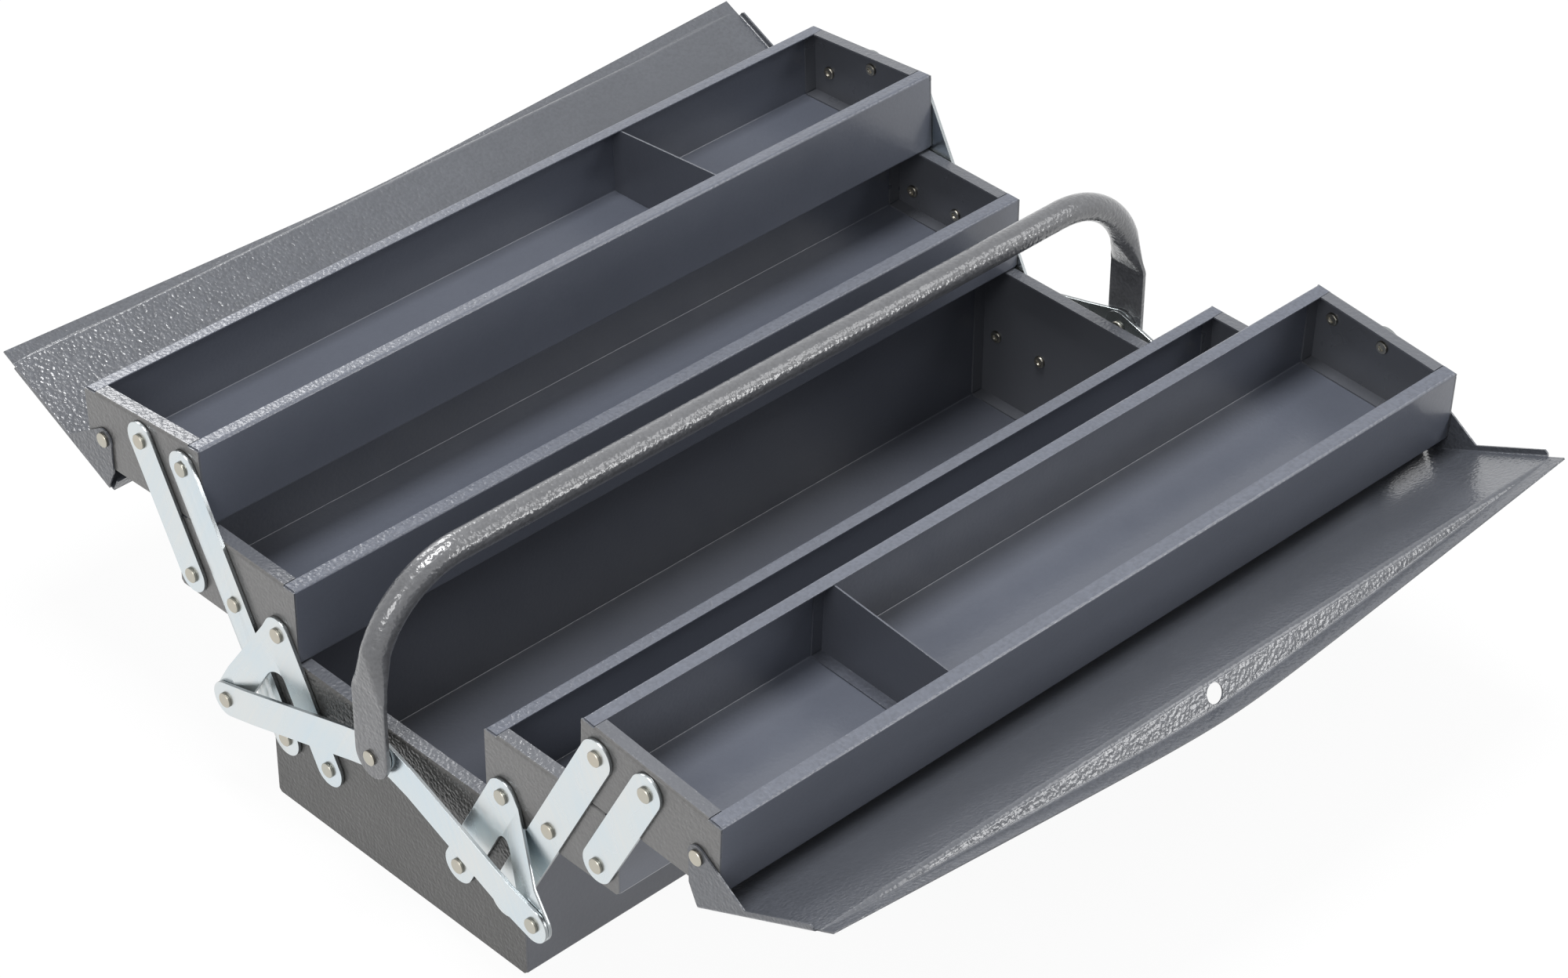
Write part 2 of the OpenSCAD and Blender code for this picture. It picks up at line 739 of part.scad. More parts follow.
case_tray();
case_left_end();
case_right_end();
case_rivets();
front_lower_tray();
front_lower_left_end();
front_lower_right_end();
front_lower_rivets();
rear_lower_tray();
rear_lower_left_end();
rear_lower_right_end();
rear_lower_rivets();
front_upper_tray();
front_upper_left_end();
front_upper_right_end();
front_divider();
front_upper_rivets();
rear_upper_tray();
rear_upper_left_end();
rear_upper_right_end();
rear_divider();
rear_upper_rivets();
front_lid();
rear_lid();
front_lid_rivets();
rear_lid_rivets();
front() left() rear_right_lever();  // front_left_lever
front() rear_right_lever();  // front_right_lever
left() rear_right_lever();  // rear_left_lever
rear_right_lever();
front() left() rear_right_long_link();  // front_left_long_link
front() rear_right_long_link();  // front_right_long_link
left() rear_right_long_link();  // rear_left_long_link
rear_right_long_link();
front() left() rear_right_short_link();  // front_left_short_link
front() rear_right_short_link();  // front_right_short_link
left() rear_right_short_link();  // rear_left_short_link
rear_right_short_link();
left() front_right_bar();  // front_left_bar
front_right_bar();
left() rear_right_bar();  // rear_left_bar
rear_right_bar();
front_elbow_rivets();
rear_elbow_rivets();
handle();
handle_rivets();
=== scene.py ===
import json
import math

import bmesh
import bpy
from mathutils import Matrix, Quaternion, Vector


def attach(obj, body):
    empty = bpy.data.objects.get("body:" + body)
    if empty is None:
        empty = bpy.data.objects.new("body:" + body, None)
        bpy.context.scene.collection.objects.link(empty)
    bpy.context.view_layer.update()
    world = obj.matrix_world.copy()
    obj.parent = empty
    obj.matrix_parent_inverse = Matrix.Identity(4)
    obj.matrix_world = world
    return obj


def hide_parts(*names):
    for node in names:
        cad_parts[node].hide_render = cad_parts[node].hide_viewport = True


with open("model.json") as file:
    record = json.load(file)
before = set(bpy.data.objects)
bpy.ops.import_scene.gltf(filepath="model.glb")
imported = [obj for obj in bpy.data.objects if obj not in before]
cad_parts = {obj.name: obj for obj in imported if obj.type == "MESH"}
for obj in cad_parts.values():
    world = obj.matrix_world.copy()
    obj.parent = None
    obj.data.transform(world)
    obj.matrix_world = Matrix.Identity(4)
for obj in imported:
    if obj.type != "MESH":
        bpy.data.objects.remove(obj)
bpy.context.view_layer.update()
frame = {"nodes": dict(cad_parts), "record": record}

# The visual model of a five tray cantilever tool box, spread open with both lids up.
# Everything is in metres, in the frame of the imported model: X along the box, Y across it, Z up.

NODES = frame["nodes"]
MM = 0.001

# Camera: the photograph's perspective, fitted to the box's pivots and edges
IMAGE_WIDTH = 2000
FOCAL_PIXELS = 5923.4
CAMERA_AZIMUTH = math.radians(-43.925)
CAMERA_ELEVATION = math.radians(36.754)
CAMERA_ROLL = math.radians(0.251)
CAMERA_DISTANCE = 2.4823
CAMERA_TARGET = Vector((0.0086, 0, 0.1115))
# The point that every lamp faces
LAMP_AIM = Vector((0, 0, 0.12))

# Paint and metal colours, as linear values
PAINT_INSIDE = (0.088, 0.097, 0.122, 1)
# The case's inside: a copy of the interior paint made darker, painted shade for the deep case under the trays
PAINT_CASE_INSIDE_SHADED = (0.070, 0.076, 0.094, 1)
# The sides of the end plates that face into the box: a copy of the interior paint made a little darker and less
# blue, painted shade for the inside of the box
PAINT_INNER_END_SHADE = (0.085, 0.090, 0.103, 1)
PAINT_CASE_END = (0.046, 0.045, 0.043, 1)
PAINT_TRAY_END = (0.102, 0.100, 0.098, 1)
PAINT_LID = (0.067, 0.072, 0.084, 1)
PAINT_HANDLE = (0.085, 0.087, 0.093, 1)
ZINC = (0.68, 0.725, 0.745, 1)
NICKEL = (0.50, 0.475, 0.41, 1)

# Casts from cool to warm that the plated metals vary between
COOL_CAST = (0.92, 0.98, 1.02)
WARM_CAST = (1.06, 1.02, 0.98)

# Scales of the paint's textures, per metre: tone, gloss, its fine skin, and the grains and dents of its pebbles
PATCH_SCALE = 9
SPECK_SCALE = 1500
GLOSS_SCALE = 55
SKIN_SCALE = 1900
GRAIN_SCALE = 540
DENT_SCALE = 380
# Heights of the fine skin, and of the pebbles where they are strongest
SKIN_DEPTH = 0.08 * MM
HAMMER_DEPTH = 0.9 * MM
# How strong the pebbles are on plain faces
FLAT_GRAIN = 0.05
# Height above which the rims of each level lie, and how far below them an end's outside starts to get rougher
RIM_LOW = {"case": 0.090, "lower": 0.135, "upper": 0.175}
ROUGH_BELOW_RIM = 45 * MM

# The soft edge that every sheared sheet shows
EDGE_RADIUS = 0.25 * MM
EDGE_ANGLE = math.radians(32)
# Points nearer than this are one, and faces that differ by less than this angle are one flat
WELD_REACH = 0.01 * MM
FLAT_ANGLE = math.radians(0.5)

# The folded sheet and the lids, in millimetres, from the part's own named sizes
SHEET = 1.0
FOLD = 1.8
EAR_OUT = 266.4
LID_FLAT_X = 264.5
LID_WIDTH = 101.707
BACK_LIP = 9.0
END_LIP = 4.2
CORNER_LIP = 2.4
EDGE_STRIP = 8.8
EDGE_STEP = 14.7
EDGE_RISE = 3.8
RIDGE_ROUND = 40.0
EAR_RADIUS = 6.5
EAR_LENGTH = 39.7
EAR_BROW = math.radians(25.5)
END_LIP_LENGTH = 89
LID_PIVOT = (16.381, 29.386)
LID_HINGE = (227.987, 161.757)
LID_ANGLE = math.radians(25)
PADLOCK_RADIUS = 5.5
PIN_HOLE_RADIUS = 2.55
# Radii that the pressed ridge of a lid is bent to, on the underside of its sheet
RIDGE_BEND = 2.2
FOOT_BEND = 2.6
# The least drop of the ridge, and how far the free edge stays inside the lid's width
RIDGE_LEAST = 0.05
FREE_EDGE_IN = 0.4
# Where a lid's section has points along its flat panel
PANEL_U = (3, 5, 7, 8.4, 9.9, 10.0, 10.6, 11.6, 13, 14.6, 16.4, 18.2, 19.8, 21, 22.2,
           25, 28, 31, 34, 37, 39.7, 48, 60, 72, 82, 86, 88, 89.2)
# Number of flat pieces in each bend of the sheet: a section has one point more there
FOLD_STEPS = 6

# The handle, in millimetres
TUBE_RADIUS = 8.0
HANDLE_BEND = 60.0
BEND_X = 216.5
HANDLE_PIVOT_Z = 90.9
GRIP_Z = 192.0
BLEND_ANGLE = math.radians(22)
FLAT_INNER = 276.2
FLAT_THICK = 3.0
FLAT_HALF_WIDTH = 12.5
CREASE_Z = 130.5
HANDLE_HOLE_RADIUS = 3.05
# Powers that make a section round or nearly a rectangle
ROUND = 2.0
SQUARE = 9.0

# The surroundings
FLOOR_RADIUS = 6
FLOOR_WHITE = 0.94
SKY_STRENGTH = 0.3


def math_node(tree, operation, *values):
    """The result of a math node that is fed by numbers and sockets."""
    made = tree.nodes.new("ShaderNodeMath")
    made.operation = operation
    for socket, value in zip(made.inputs, values):
        if isinstance(value, (int, float)):
            socket.default_value = value
        else:
            tree.links.new(value, socket)
    return made.outputs["Value"]


class Graph:
    """The node tree of one new material, with its main shader."""

    def __init__(self, name):
        self.material = bpy.data.materials.new(name)
        self.material.use_nodes = True
        self.nodes = self.material.node_tree.nodes
        self.links = self.material.node_tree.links
        self.shader = self.nodes["Principled BSDF"]
        self.source = self.nodes.new("ShaderNodeTexCoord")
        self.place = self.source.outputs["Object"]

    def set(self, **values):
        for name, value in values.items():
            self.shader.inputs[name.replace("_", " ")].default_value = value

    def feed(self, socket, name):
        self.links.new(socket, self.shader.inputs[name])

    def give(self, value, socket):
        """Sets a number or colour on a socket, or links another socket to it."""
        if isinstance(value, (int, float, tuple)):
            socket.default_value = value
        else:
            self.links.new(value, socket)

    def stretched(self, scale, turn=(0, 0, 0)):
        """The place in the frame, turned and then scaled along each axis."""
        mapping = self.nodes.new("ShaderNodeMapping")
        mapping.vector_type = "TEXTURE"
        mapping.inputs["Rotation"].default_value = turn
        mapping.inputs["Scale"].default_value = [1 / s for s in scale]
        self.links.new(self.place, mapping.inputs["Vector"])
        return mapping.outputs["Vector"]

    def noise(self, scale, detail=2.0, roughness=0.5, place=None):
        made = self.nodes.new("ShaderNodeTexNoise")
        made.inputs["Scale"].default_value = scale
        made.inputs["Detail"].default_value = detail
        made.inputs["Roughness"].default_value = roughness
        self.links.new(place or self.place, made.inputs["Vector"])
        return made.outputs["Fac"]

    def cells(self, scale, smoothness=0.6):
        made = self.nodes.new("ShaderNodeTexVoronoi")
        made.feature = "SMOOTH_F1"
        made.inputs["Scale"].default_value = scale
        made.inputs["Smoothness"].default_value = smoothness
        self.links.new(self.place, made.inputs["Vector"])
        return made.outputs["Distance"]

    def remap(self, value, low, high, to_low, to_high):
        made = self.nodes.new("ShaderNodeMapRange")
        self.links.new(value, made.inputs["Value"])
        limits = {"From Min": low, "From Max": high, "To Min": to_low, "To Max": to_high}
        for name, number in limits.items():
            made.inputs[name].default_value = number
        return made.outputs["Result"]

    def math(self, operation, *values):
        return math_node(self.material.node_tree, operation, *values)

    def split(self, vector, name):
        """One coordinate of a vector: X, Y or Z."""
        made = self.nodes.new("ShaderNodeSeparateXYZ")
        self.links.new(vector, made.inputs["Vector"])
        return made.outputs[name]

    def axis(self, name):
        return self.split(self.place, name)

    def facing(self, name):
        """How far the surface faces along one axis of its own, from -1 to 1."""
        return self.split(self.source.outputs["Normal"], name)

    def tint(self, factor, first, second):
        """A mix of two colours, each given as a colour or a socket."""
        made = self.nodes.new("ShaderNodeMix")
        made.data_type = "RGBA"
        for name, value in (("Factor", factor), ("A", first), ("B", second)):
            self.give(value, made.inputs[name])
        return made.outputs["Result"]

    def bump(self, height, strength, distance, normal=None):
        made = self.nodes.new("ShaderNodeBump")
        self.links.new(height, made.inputs["Height"])
        made.inputs["Distance"].default_value = distance
        self.give(strength, made.inputs["Strength"])
        if normal is not None:
            self.links.new(normal, made.inputs["Normal"])
        return made.outputs["Normal"]


def shade(colour, factor):
    """A colour made lighter or darker."""
    return tuple(c * factor for c in colour[:3]) + (1,)


def hammer_height(graph):
    """Height of the pebbled skin of the paint, with grains of one to two millimetres."""
    grains = graph.noise(GRAIN_SCALE, detail=1.0, roughness=0.4)
    dents = graph.cells(DENT_SCALE)
    return graph.math("ADD", grains, graph.math("MULTIPLY", dents, 0.6))


def paint(name, colour, roughness, grain, coat_weight, inward_shade=None):
    """Stoved paint: grain is how strong its pebbled skin is, as a number or a function of the graph, and also how
    strongly its colour is painted lighter on the peaks and darker in the dents, as painted highlight and painted
    shade.
    The colour given for the inward side is for the side of an end plate that faces into the box: a darker copy of
    the interior paint, as painted shade."""
    graph = Graph(name)
    patches = graph.remap(graph.noise(PATCH_SCALE, detail=3), 0.3, 0.7, 0, 0.7)
    specks = graph.remap(graph.noise(SPECK_SCALE, detail=1), 0.35, 0.65, 0, 0.3)
    mottle = graph.math("ADD", patches, specks)
    plain = graph.tint(mottle, shade(colour, 0.92), shade(colour, 1.08))
    level = grain(graph) if callable(grain) else grain
    height = hammer_height(graph)
    # Painted highlight and painted shade: the colour is made lighter on the peaks of the pebbles and darker in
    # their dents, as strongly as the grain's level
    peak_light_and_dent_shade = graph.tint(graph.remap(height, 0.55, 0.95, 0, 1), shade(colour, 0.7), shade(colour, 1.32))
    coat = graph.tint(level, plain, peak_light_and_dent_shade)
    # Painted shade: the sides of end plates that face into the box take the darker copy of the paint given for
    # them
    if inward_shade:
        coat = graph.tint(outward(graph), inward_shade, coat)
    graph.feed(coat, "Base Color")
    gloss = graph.noise(GLOSS_SCALE, detail=2)
    graph.feed(graph.remap(gloss, 0.3, 0.7, roughness - 0.04, roughness + 0.04), "Roughness")
    skin = graph.bump(graph.noise(SKIN_SCALE, detail=1.5), 0.15, SKIN_DEPTH)
    normal = graph.bump(height, level, HAMMER_DEPTH, skin)
    graph.feed(normal, "Normal")
    graph.feed(normal, "Coat Normal")
    graph.set(IOR=1.5, Coat_Weight=coat_weight, Coat_Roughness=0.14)
    return graph.material


def outward(graph):
    """1 where an end plate faces away from the middle of the box, 0 elsewhere."""
    return graph.remap(graph.math("MULTIPLY", graph.facing("X"), graph.axis("X")), 0.05, 0.15, 0, 1)


def rim_grain(rim_low, rim, outer=0.0):
    """Weak on plain faces, rim on those that face up above a height, and outer on the outside of an end,
    where it grows towards the rim."""
    def level(graph):
        up = graph.remap(graph.facing("Z"), 0.2, 0.7, 0, 1)
        height = graph.axis("Z")
        high = graph.remap(height, rim_low, rim_low + 2 * MM, 0, 1)
        top = graph.remap(graph.math("MULTIPLY", up, high), 0, 1, FLAT_GRAIN, rim)
        if not outer:
            return top
        side = graph.remap(height, rim_low - ROUGH_BELOW_RIM, rim_low, outer * 0.45, outer)
        return graph.math("MAXIMUM", top, graph.math("MULTIPLY", outward(graph), side))
    return level


def lid_grain(graph):
    """Strong near the ends and the free edge of a lid and on the rear lid's left half, weak elsewhere."""
    along = graph.axis("X")
    ends = graph.remap(graph.math("ABSOLUTE", along), 0.17, 0.26, 0.0, 0.3)
    across = graph.axis("Y")
    edge = graph.remap(graph.math("ABSOLUTE", across), 0.285, 0.315, 0.09, 0.32)
    left = graph.remap(along, -0.12, 0.2, 0.4, 0.1)
    rear = graph.math("MULTIPLY", graph.remap(across, 0.1, 0.2, 0, 1), left)
    return graph.math("MAXIMUM", rear, graph.math("MAXIMUM", ends, edge))


def cast(colour, factors):
    """A colour with a cast: one factor for each of red, green and blue."""
    return tuple(c * f for c, f in zip(colour, factors)) + (1,)


def plated(name, colour, roughness, streak_turn=0.0):
    """Bright plated sheet with faint rolling streaks, soft clouds from cool to warm, and painted shade on its
    sheared edges.
    """
    graph = Graph(name)
    streaks = graph.noise(1, detail=2, place=graph.stretched((420, 420, 7), (streak_turn, 0, 0)))
    clouds = graph.noise(24, detail=1)
    mottle = graph.math("ADD", graph.remap(streaks, 0.3, 0.7, 0, 0.3), graph.remap(clouds, 0.3, 0.7, 0, 0.7))
    face = graph.tint(mottle, cast(colour, COOL_CAST), cast(colour, WARM_CAST))
    # Painted shade: faces that do not face along the piece's own X axis, such as the cut edges, are darkened to
    # less than half the colour, standing in for dark reflections and contact shade along them
    flat = graph.remap(graph.math("ABSOLUTE", graph.facing("X")), 0.3, 0.75, 0, 1)
    graph.feed(graph.tint(flat, shade(colour, 0.45), face), "Base Color")
    graph.feed(graph.remap(clouds, 0.3, 0.7, roughness - 0.03, roughness + 0.04), "Roughness")
    grit = graph.bump(graph.noise(1200), 0.2, 0.01 * MM)
    graph.feed(graph.bump(streaks, 0.15, 0.02 * MM, grit), "Normal")
    graph.set(Metallic=1.0)
    return graph.material


def soften(piece, flat=False):
    """Rounds every sharp edge by a hair, so that it catches the light. A flat piece keeps flat faces."""
    weld = piece.modifiers.new("weld", "WELD")
    weld.merge_threshold = WELD_REACH
    if flat:
        merge = piece.modifiers.new("flats", "DECIMATE")
        merge.decimate_type = "DISSOLVE"
        merge.angle_limit = FLAT_ANGLE
    bevel = piece.modifiers.new("edge", "BEVEL")
    bevel.width = EDGE_RADIUS
    bevel.segments = 2
    bevel.limit_method = "ANGLE"
    bevel.angle_limit = EDGE_ANGLE
    bevel.use_clamp_overlap = True
    if flat:
        return
    normals = piece.modifiers.new("normals", "WEIGHTED_NORMAL")
    normals.weight = 60
    normals.keep_sharp = False
    for face in piece.data.polygons:
        face.use_smooth = True


def new_piece(name, shape):
    """A new object from a finished bmesh."""
    bmesh.ops.recalc_face_normals(shape, faces=shape.faces)
    mesh = bpy.data.meshes.new(name)
    shape.to_mesh(mesh)
    shape.free()
    piece = bpy.data.objects.new(name, mesh)
    bpy.context.scene.collection.objects.link(piece)
    return piece


def drill(piece, holes):
    """Cuts round holes, each given as (middle, axis, radius, length) in metres."""
    shape = bmesh.new()
    for middle, axis, radius, length in holes:
        turn = Vector(axis).to_track_quat("Z", "Y").to_matrix().to_4x4()
        bmesh.ops.create_cone(shape, cap_ends=True, segments=40, radius1=radius, radius2=radius,
                              depth=length, matrix=Matrix.Translation(middle) @ turn)
    cutter = new_piece(piece.name + "_cutter", shape)
    cut = piece.modifiers.new("cut", "BOOLEAN")
    cut.operation = "DIFFERENCE"
    cut.solver = "EXACT"
    cut.object = cutter
    plain = piece.data
    graph = bpy.context.evaluated_depsgraph_get()
    drilled = bpy.data.meshes.new_from_object(piece.evaluated_get(graph))
    piece.modifiers.clear()
    piece.data = drilled
    bpy.data.meshes.remove(plain)
    bpy.data.objects.remove(cutter)


def stand_for(piece, node, body, material):
    """Makes a new piece take a CAD node's place."""
    piece.data.materials.clear()
    piece.data.materials.append(material)
    soften(piece)
    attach(piece, body)
    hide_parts(node)


def left_of(v):
    """A plane direction turned a quarter to the left."""
    return Vector((-v.y, v.x))


def fold_corner(before, corner, after, radius, depth):
    """Points of one bend of a folded sheet, at a depth to the left of its path."""
    a = (corner - before).normalized()
    b = (after - corner).normalized()
    turn = math.atan2(a.cross(b), a.dot(b))
    side = 1 if turn >= 0 else -1
    centre = corner + (left_of(a) + left_of(b)) * side * radius / (1 + a.dot(b))
    start = math.atan2(a.y, a.x)
    angles = [start + turn * k / FOLD_STEPS for k in range(FOLD_STEPS + 1)]
    return [centre - side * (radius - side * depth) * left_of(Vector((math.cos(g), math.sin(g))))
            for g in angles]


def ridge_share(x):
    """Height of a lid's pressed ridge along x, from 1 in the middle to 0 at the ends."""
    end = math.hypot(LID_FLAT_X, RIDGE_ROUND) - RIDGE_ROUND
    return 1 - (math.hypot(x, RIDGE_ROUND) - RIDGE_ROUND) / end


def lid_section(x, depth):
    """One side of a lid's sheet at x, as (u, v) points from the back lip to the free edge."""
    low = max(EDGE_STEP * ridge_share(x), RIDGE_LEAST)
    high = max((EDGE_STEP + EDGE_RISE) * ridge_share(x), RIDGE_LEAST)
    fold_u = LID_WIDTH - EDGE_STRIP
    bends = RIDGE_BEND + FOOT_BEND
    drop = math.acos(max(0.0, 1 - low / bends)) if low < bends else math.pi / 2
    ridge = Vector((fold_u - SHEET, 0))
    foot = Vector((ridge.x + (low / math.tan(drop) if low < bends else 0), -low))
    free = Vector((LID_WIDTH - FREE_EDGE_IN, -high))
    back = Vector((0, 0))
    first = Vector((0, BACK_LIP))
    points = [first + depth * Vector((1, 0))]
    points += fold_corner(first, back, ridge, FOLD, depth)
    points += [Vector((u, depth)) for u in PANEL_U]
    points += fold_corner(back, ridge, foot, RIDGE_BEND, depth)
    points += fold_corner(ridge, foot, free, FOOT_BEND, depth)
    points.append(free + depth * left_of((free - foot).normalized()))
    return points


def lip_height(u):
    """Height of a lid's end lip, with its ear, along the lip."""
    pivot_u, pivot_v = LID_PIVOT
    back = (0.3, BACK_LIP)
    shoulder = (pivot_u - EAR_RADIUS, pivot_v)
    brow = (pivot_u + EAR_RADIUS * math.cos(EAR_BROW), pivot_v + EAR_RADIUS * math.sin(EAR_BROW))

    def between(a, b):
        return a[1] + (b[1] - a[1]) * (u - a[0]) / (b[0] - a[0])

    if u < shoulder[0]:
        return between(back, shoulder)
    if u < brow[0]:
        return pivot_v + math.sqrt(max(EAR_RADIUS ** 2 - (u - pivot_u) ** 2, 0))
    if u < EAR_LENGTH:
        return between(brow, (EAR_LENGTH, END_LIP))
    return END_LIP if u < END_LIP_LENGTH else CORNER_LIP


def folded_sheet(columns, place):
    """A closed sheet from columns of (under, over) points, with cells where neighbours share their keys."""
    shape = bmesh.new()
    made = [{key: [shape.verts.new(place(*point)) for point in pair] for key, pair in column.items()}
            for column in columns]
    uses = {}
    for near, far in zip(made, made[1:]):
        for key in near:
            if key + 1 in near and key in far and key + 1 in far:
                cell = [near[key], near[key + 1], far[key + 1], far[key]]
                shape.faces.new([corner[0] for corner in cell])
                shape.faces.new([corner[1] for corner in reversed(cell)])
                for a, b in zip(cell, cell[1:] + cell[:1]):
                    uses.setdefault(frozenset((id(a), id(b))), []).append((a, b))
    for found in uses.values():
        if len(found) == 1:
            a, b = found[0]
            shape.faces.new((b[0], a[0], a[1], b[1]))
    return shape


def lid_columns():
    """Columns of the whole lid: one end's lip from its edge inwards, the panel, and the other end's lip."""
    stations = 96
    columns = []
    for i in range(stations + 1):
        x = LID_FLAT_X * (2 * i / stations - 1)
        under, over = lid_section(x, 0), lid_section(x, SHEET)
        columns.append({k: ((x, *a), (x, *b)) for k, (a, b) in enumerate(zip(under, over))})
    # The panel's first point follows the back lip's end and its bend
    first_key = 1 + FOLD_STEPS + 1

    def lips(end):
        made = []
        for step in range(1, 6):
            turn = math.radians(18 * step)
            bend = [(end * (EAR_OUT - FOLD + r * math.sin(turn)), FOLD - r * math.cos(turn))
                    for r in (FOLD, FOLD - SHEET)]
            made.append({first_key + k: tuple((x, u, v) for x, v in bend) for k, u in enumerate(PANEL_U)})
        faces = (EAR_OUT, EAR_OUT - SHEET)
        made.append({first_key + k: tuple((end * x, u, lip_height(u)) for x in faces)
                     for k, u in enumerate(PANEL_U)})
        return made

    return list(reversed(lips(-1))) + columns + lips(1)


def add_lid(side, material):
    """One lid, folded from one sheet, with its ears, end lips and pressed ridge."""
    across = -1 if side == "front" else 1
    cos, sin = math.cos(LID_ANGLE), math.sin(LID_ANGLE)

    def place(x, u, v):
        du, dv = u - LID_PIVOT[0], v - LID_PIVOT[1]
        y = across * (LID_HINGE[0] + du * cos - dv * sin)
        return (x * MM, y * MM, (LID_HINGE[1] + du * sin + dv * cos) * MM)

    piece = new_piece(side + "_lid_sheet", folded_sheet(lid_columns(), place))
    padlock = place(0, LID_WIDTH - EDGE_STRIP, -EDGE_STEP / 2)
    holes = [(padlock, (0, across * cos, sin), PADLOCK_RADIUS * MM, 6 * MM)]
    for end in (-1, 1):
        middle = place(end * (EAR_OUT - SHEET / 2), *LID_PIVOT)
        holes.append((middle, (1, 0, 0), PIN_HOLE_RADIUS * MM, 4 * MM))
    drill(piece, holes)
    stand_for(piece, side + "_lid", side + "_lid", material)


def handle_path():
    """Sections of one half of the handle, each as its middle, outward direction, sizes and share of flattening.
    The sizes are half width, half thickness and squareness, or None where the tube changes into the flat."""
    round_section = (TUBE_RADIUS, TUBE_RADIUS, ROUND)
    flat_section = (FLAT_HALF_WIDTH, FLAT_THICK / 2, SQUARE)
    sections = [(Vector((x, 0, GRIP_Z)), Vector((0, 0, 1)), round_section, 0.0) for x in range(0, 216, 12)]
    turns = 22
    for k in range(turns + 1):
        angle = math.pi / 2 + (BLEND_ANGLE - math.pi / 2) * k / turns
        out = Vector((math.cos(angle), 0, math.sin(angle)))
        middle = Vector((BEND_X, 0, GRIP_Z - HANDLE_BEND)) + HANDLE_BEND * out
        sections.append((middle, out, round_section, 0.0))
    start, start_out = sections[-1][0], sections[-1][1]
    flat_x = FLAT_INNER + FLAT_THICK / 2
    steps = 14
    for k in range(1, steps + 1):
        share = k / steps
        middle = start.lerp(Vector((flat_x, 0, CREASE_Z)), share)
        out = start_out.lerp(Vector((1, 0, 0)), share).normalized()
        sections.append((middle, out, None, share))
    for z in (125, 118, 110, 102, 96, HANDLE_PIVOT_Z):
        sections.append((Vector((flat_x, 0, z)), Vector((1, 0, 0)), flat_section, 1.0))
    for k in range(1, 9):
        turn = math.radians(10.8 * k)
        tip = (FLAT_HALF_WIDTH * math.cos(turn), FLAT_THICK / 2, SQUARE)
        middle = Vector((flat_x, 0, HANDLE_PIVOT_Z - FLAT_HALF_WIDTH * math.sin(turn)))
        sections.append((middle, Vector((1, 0, 0)), tip, 1.0))
    return sections


def squared(angle, wide, thick, square):
    """A point of a rounded rectangle or circle around a section."""
    def power(value):
        return math.copysign(abs(value) ** (2 / square), value)
    return wide * power(math.sin(angle)), thick * power(math.cos(angle))


def handle_ring(section, end):
    """Corner points of one section; where the tube is pressed flat its sides flatten before its middle."""
    middle, out, sizes, share = section
    points = []
    around = 48
    for k in range(around):
        angle = 2 * math.pi * (k + 0.5) / around
        if sizes is None:
            pressed = min(1.0, share * (1 + 0.45 * abs(math.sin(angle)) ** 2))
            round_y, round_n = squared(angle, TUBE_RADIUS, TUBE_RADIUS, ROUND)
            flat_y, flat_n = squared(angle, FLAT_HALF_WIDTH, FLAT_THICK / 2, SQUARE)
            y = round_y + (flat_y - round_y) * min(1.0, share * 1.1)
            n = round_n + (flat_n - round_n) * pressed
        else:
            y, n = squared(angle, *sizes)
        point = middle + out * n
        points.append(Vector((end * point.x, y, point.z)) * MM)
    return points


def add_handle(material):
    """The tube with its two flattened legs, as one skin."""
    half = handle_path()
    rings = [handle_ring(s, -1) for s in reversed(half[1:])] + [handle_ring(s, 1) for s in half]
    shape = bmesh.new()
    made = [[shape.verts.new(p) for p in ring] for ring in rings]
    for near, far in zip(made, made[1:]):
        for k in range(len(near)):
            j = (k + 1) % len(near)
            shape.faces.new((near[k], near[j], far[j], far[k]))
    shape.faces.new(made[0])
    shape.faces.new(list(reversed(made[-1])))
    piece = new_piece("handle_tube", shape)
    flat_x = (FLAT_INNER + FLAT_THICK / 2) * MM
    drill(piece, [((end * flat_x, 0, HANDLE_PIVOT_Z * MM), (1, 0, 0), HANDLE_HOLE_RADIUS * MM, 8 * MM)
                  for end in (-1, 1)])
    stand_for(piece, "handle", "handle", material)


def dress(node, material, flat):
    """Gives a CAD node its material and soft edges."""
    piece = NODES[node]
    piece.data.materials.clear()
    piece.data.materials.append(material)
    soften(piece, flat)


def tray_paints():
    """Paint of the channels and dividers, for each level of the box."""
    looks = {
        # The case's channel takes the darker copy of the interior paint, as painted shade
        "case": ("paint_case", PAINT_CASE_INSIDE_SHADED, 0.3),
        "lower": ("paint_lower_trays", PAINT_INSIDE, 0.4),
        "upper": ("paint_upper_trays", PAINT_INSIDE, 0.4),
    }
    return {level: paint(name, colour, 0.34, rim_grain(RIM_LOW[level], 0.3), coat_weight)
            for level, (name, colour, coat_weight) in looks.items()}


def end_paints():
    """Paint of the end plates, for each level of the box: outside, roughness, grains of rim and outside, coat."""
    looks = {
        "case": ("paint_case_ends", PAINT_CASE_END, 0.36, 0.55, 0.6, 0.3),
        "lower": ("paint_lower_ends", PAINT_TRAY_END, 0.30, 0.35, 0.25, 0.5),
        "upper": ("paint_upper_ends", PAINT_TRAY_END, 0.30, 0.35, 0.25, 0.5),
    }
    return {level: paint(name, colour, roughness, rim_grain(RIM_LOW[level], rim, outer), coat_weight,
                         inward_shade=PAINT_INNER_END_SHADE)
            for level, (name, colour, roughness, rim, outer, coat_weight) in looks.items()}


